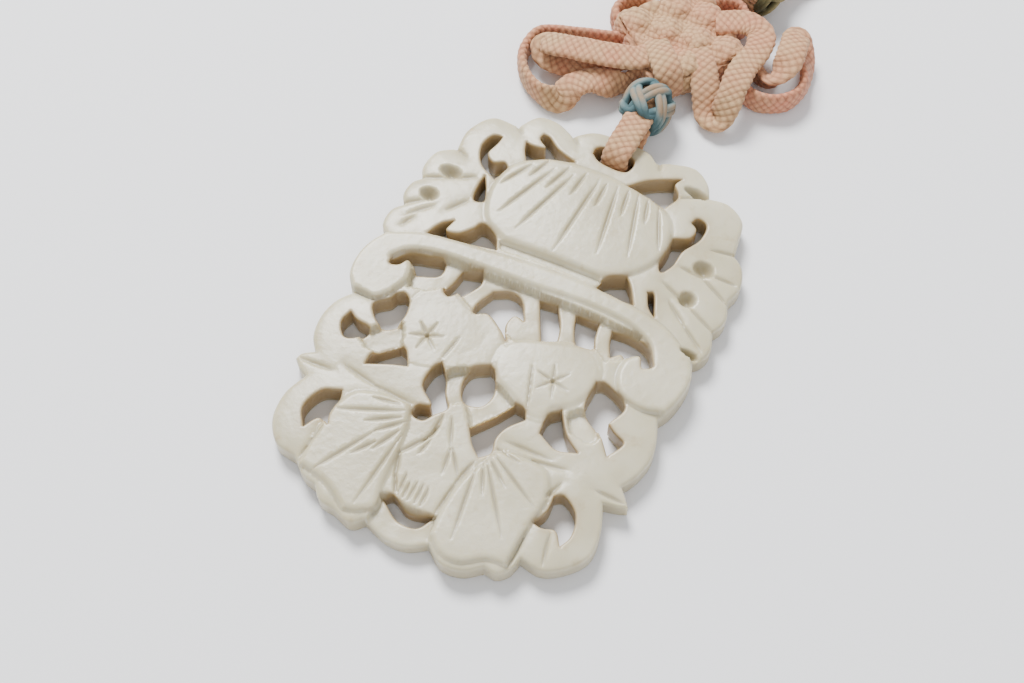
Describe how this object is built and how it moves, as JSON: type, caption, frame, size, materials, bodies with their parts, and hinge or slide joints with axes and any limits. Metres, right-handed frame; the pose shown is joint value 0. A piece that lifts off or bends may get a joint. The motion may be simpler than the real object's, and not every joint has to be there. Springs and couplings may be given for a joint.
{
  "type": "jade carving",
  "caption": "Pierced jade plaque carved with a shell, ruyi band, fruits and fans, on a flat silk braid with bead knots and a woven knot.",
  "frame": {"origin": "middle of the plaque's own box at its flat back, where it lies on the table", "axes": "+Y from the plaque's foot to its cord hole, +Z out of the carved face"},
  "size_m": [0.0629, 0.147, 0.0086],
  "materials": {
    "jade": "polished, slightly translucent grey-green jade",
    "silk_braid": "flat plaited silk, faded from red to tan",
    "blue_cord": "thin twisted cord, blue-grey worn to brown",
    "olive_cord": "thin twisted cord, olive"
  },
  "bodies": {
    "root": {"jade_plaque": "jade", "woven_knot": "silk_braid", "hanging_loop": "silk_braid", "bead_knot_blue": "blue_cord", "bead_knot_olive": "olive_cord", "ear_loop_left_upper": "silk_braid", "ear_loop_left_lower": "silk_braid", "ear_loop_right_lower": "silk_braid", "ear_loop_right_upper": "silk_braid", "hanger_loop": "silk_braid"}
  },
  "joints": []
}
